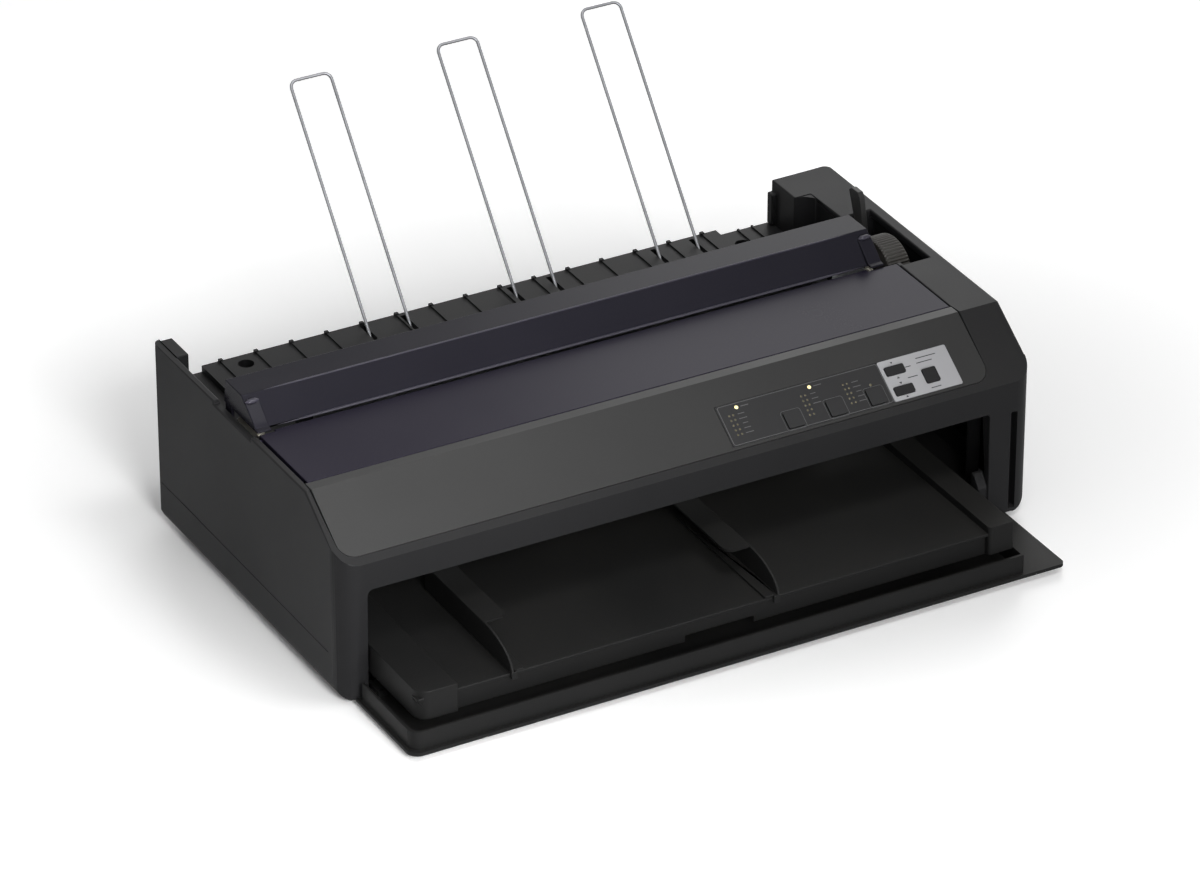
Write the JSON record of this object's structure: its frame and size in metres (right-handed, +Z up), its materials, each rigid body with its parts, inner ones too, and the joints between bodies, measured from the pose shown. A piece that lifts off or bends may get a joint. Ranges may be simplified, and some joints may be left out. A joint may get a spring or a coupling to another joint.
{
  "type": "dot matrix printer",
  "caption": "Wide-carriage dot matrix printer: smoked top covers that hinge open, wire paper supports at the rear and a front sheet guide over an open flap.",
  "frame": {"origin": "on the floor plane, in the middle of the overall box seen from above", "axes": "+X runs to the right along the carriage, +Y to the back, +Z up"},
  "size_m": [0.61, 0.5294, 0.292],
  "materials": {
    "case_plastic": "fine satin texture",
    "fascia_plastic": "smooth satin",
    "smoked_plastic": "smoked, smooth",
    "black_plastic": "fine satin texture",
    "black_gloss": "smooth",
    "plate_silver": "printed silver",
    "lamp_plastic": "clear lenses",
    "natural_plastic": "natural moulded",
    "blue_plastic": "moulded",
    "steel": "plated",
    "wire": "bright wire",
    "rubber": "ground rubber",
    "board": "coated board"
  },
  "bodies": {
    "case": {"upper_case": "case_plastic", "lower_case": "case_plastic", "fascia_panel": "fascia_plastic", "control_overlay": "black_gloss", "selector_plate": "plate_silver", "lamp_lenses": "lamp_plastic", "rear_deck": "case_plastic", "rubber_feet": "rubber", "case_screws": "steel", "side_frame_left": "steel", "side_frame_right": "steel", "base_pan": "steel", "carriage_rod": "steel", "carriage_rail": "steel", "paper_chute": "black_plastic", "platen_bushes": "natural_plastic", "carriage_motor": "steel", "feed_motor": "steel", "timing_belt": "rubber", "main_board": "board", "power_supply": "steel", "parallel_port": "steel", "power_inlet": "black_plastic", "tractor_rods": "steel", "button_board": "board"},
    "printer_cover": {"printer_cover": "smoked_plastic"},
    "sheet_guide_cover": {"sheet_guide_cover": "smoked_plastic"},
    "wire_support_left": {"wire_support_left": "wire"},
    "wire_support_middle": {"wire_support_middle": "wire"},
    "wire_support_right": {"wire_support_right": "wire"},
    "platen": {"platen": "rubber", "platen_gear": "natural_plastic", "platen_knob": "black_plastic"},
    "reduction_gear": {"reduction_gear": "natural_plastic"},
    "feed_pinion": {"feed_pinion": "steel"},
    "print_carriage": {"print_carriage": "black_plastic", "print_head": "steel", "ribbon_cartridge": "black_plastic"},
    "ribbon_knob": {"ribbon_knob": "natural_plastic"},
    "motor_pulley": {"motor_pulley": "natural_plastic"},
    "idler_pulley": {"idler_pulley": "natural_plastic"},
    "release_lever": {"release_lever": "black_plastic"},
    "thickness_lever": {"thickness_lever": "blue_plastic"},
    "tractor_left": {"tractor_left": "black_plastic"},
    "tractor_right": {"tractor_right": "black_plastic"},
    "tractor_flap_left": {"tractor_flap_left": "black_plastic"},
    "tractor_flap_right": {"tractor_flap_right": "black_plastic"},
    "front_sheet_guide": {"front_sheet_guide": "black_plastic"},
    "edge_guide_left": {"edge_guide_left": "black_plastic"},
    "edge_guide_right": {"edge_guide_right": "black_plastic"},
    "front_cover": {"front_cover": "black_plastic"},
    "button_one": {"button_one": "black_plastic"},
    "button_two": {"button_two": "black_plastic"},
    "button_three": {"button_three": "black_plastic"},
    "selector_key_upper": {"selector_key_upper": "black_plastic"},
    "selector_key_lower": {"selector_key_lower": "black_plastic"},
    "selector_key_square": {"selector_key_square": "black_plastic"},
    "power_rocker": {"power_rocker": "black_plastic"}
  },
  "joints": [
    {"name": "printer_cover_hinge", "type": "hinge", "parent": "case", "child": "printer_cover", "pos_m": [0, -0.02659, 0.1565], "axis": [-1, 0, 0], "range_deg": [0, 75]},
    {"name": "sheet_guide_cover_hinge", "type": "hinge", "parent": "case", "child": "sheet_guide_cover", "pos_m": [0, 0.03031, 0.153], "axis": [-1, 0, 0], "range_deg": [0, 75]},
    {"name": "wire_support_left_hinge", "type": "hinge", "parent": "case", "child": "wire_support_left", "pos_m": [-0.1065, 0.12431, 0.119], "axis": [-1, 0, 0], "range_deg": [-36, 16]},
    {"name": "wire_support_middle_hinge", "type": "hinge", "parent": "case", "child": "wire_support_middle", "pos_m": [0.025, 0.12431, 0.119], "axis": [-1, 0, 0], "range_deg": [-36, 16]},
    {"name": "wire_support_right_hinge", "type": "hinge", "parent": "case", "child": "wire_support_right", "pos_m": [0.1565, 0.12431, 0.119], "axis": [-1, 0, 0], "range_deg": [-36, 16]},
    {"name": "platen_turn", "type": "hinge", "parent": "case", "child": "platen", "pos_m": [0, 0.00531, 0.137], "axis": [1, 0, 0], "continuous": true},
    {"name": "reduction_turn", "type": "hinge", "parent": "case", "child": "reduction_gear", "pos_m": [-0.289, -0.01325, 0.10485], "axis": [1, 0, 0], "continuous": true},
    {"name": "pinion_turn", "type": "hinge", "parent": "case", "child": "feed_pinion", "pos_m": [-0.289, -0.01325, 0.08373], "axis": [1, 0, 0], "continuous": true},
    {"name": "carriage_slide", "type": "slide", "parent": "case", "child": "print_carriage", "axis": [1, 0, 0], "range_m": [0, 0.34]},
    {"name": "ribbon_knob_turn", "type": "hinge", "parent": "print_carriage", "child": "ribbon_knob", "pos_m": [-0.237, -0.08869, 0.14], "axis": [0, 0, 1], "continuous": true},
    {"name": "motor_pulley_turn", "type": "hinge", "parent": "case", "child": "motor_pulley", "pos_m": [0.2284, -0.08869, 0.08], "axis": [0, 0, 1], "continuous": true},
    {"name": "idler_pulley_turn", "type": "hinge", "parent": "case", "child": "idler_pulley", "pos_m": [-0.259, -0.08869, 0.08], "axis": [0, 0, 1], "continuous": true},
    {"name": "release_lever_hinge", "type": "hinge", "parent": "case", "child": "release_lever", "pos_m": [0.273, 0.05131, 0.12], "axis": [-1, 0, 0], "range_deg": [0, 16]},
    {"name": "thickness_lever_hinge", "type": "hinge", "parent": "case", "child": "thickness_lever", "pos_m": [0.2544, -0.03269, 0.137], "axis": [-1, 0, 0], "range_deg": [-18, 18]},
    {"name": "tractor_left_slide", "type": "slide", "parent": "case", "child": "tractor_left", "axis": [1, 0, 0], "range_m": [0, 0.14]},
    {"name": "tractor_right_slide", "type": "slide", "parent": "case", "child": "tractor_right", "axis": [-1, 0, 0], "range_m": [0, 0.14]},
    {"name": "tractor_flap_left_hinge", "type": "hinge", "parent": "tractor_left", "child": "tractor_flap_left", "pos_m": [-0.221, 0.08731, 0.0855], "axis": [0, -1, 0], "range_deg": [0, 75]},
    {"name": "tractor_flap_right_hinge", "type": "hinge", "parent": "tractor_right", "child": "tractor_flap_right", "pos_m": [0.1604, 0.08731, 0.0855], "axis": [0, -1, 0], "range_deg": [0, 75]},
    {"name": "front_sheet_guide_pull", "type": "slide", "parent": "case", "child": "front_sheet_guide", "axis": [0, -1, 0], "range_m": [0, 0.19]},
    {"name": "edge_guide_left_slide", "type": "slide", "parent": "front_sheet_guide", "child": "edge_guide_left", "axis": [1, 0, 0], "range_m": [-0.04, 0.1]},
    {"name": "edge_guide_right_slide", "type": "slide", "parent": "front_sheet_guide", "child": "edge_guide_right", "axis": [1, 0, 0], "range_m": [-0.08, 0.15]},
    {"name": "front_cover_hinge", "type": "hinge", "parent": "case", "child": "front_cover", "pos_m": [0, -0.16669, 0.01], "axis": [-1, 0, 0], "range_deg": [0, 8]},
    {"name": "button_one_press", "type": "slide", "parent": "case", "child": "button_one", "axis": [0, 0.5609, -0.8279], "range_m": [0, 0.001], "stiffness_N_per_m": 150, "springref_m": -0.001},
    {"name": "button_two_press", "type": "slide", "parent": "case", "child": "button_two", "axis": [0, 0.5609, -0.8279], "range_m": [0, 0.001], "stiffness_N_per_m": 150, "springref_m": -0.001},
    {"name": "button_three_press", "type": "slide", "parent": "case", "child": "button_three", "axis": [0, 0.5609, -0.8279], "range_m": [0, 0.001], "stiffness_N_per_m": 150, "springref_m": -0.001},
    {"name": "selector_key_upper_press", "type": "slide", "parent": "case", "child": "selector_key_upper", "axis": [0, 0.5609, -0.8279], "range_m": [0, 0.001], "stiffness_N_per_m": 150, "springref_m": -0.001},
    {"name": "selector_key_lower_press", "type": "slide", "parent": "case", "child": "selector_key_lower", "axis": [0, 0.5609, -0.8279], "range_m": [0, 0.001], "stiffness_N_per_m": 150, "springref_m": -0.001},
    {"name": "selector_key_square_press", "type": "slide", "parent": "case", "child": "selector_key_square", "axis": [0, 0.5609, -0.8279], "range_m": [0, 0.001], "stiffness_N_per_m": 150, "springref_m": -0.001},
    {"name": "power_rocker_hinge", "type": "hinge", "parent": "case", "child": "power_rocker", "pos_m": [0.2103, 0.12331, 0.0285], "axis": [1, 0, 0], "range_deg": [0, 12]}
  ],
  "couplings": [
    {"joint": "reduction_turn", "follows": "platen_turn", "ratio": -1.4667},
    {"joint": "pinion_turn", "follows": "platen_turn", "ratio": 3.6667},
    {"joint": "motor_pulley_turn", "follows": "carriage_slide", "rad_per_m": -112.36},
    {"joint": "idler_pulley_turn", "follows": "carriage_slide", "rad_per_m": -112.36}
  ]
}
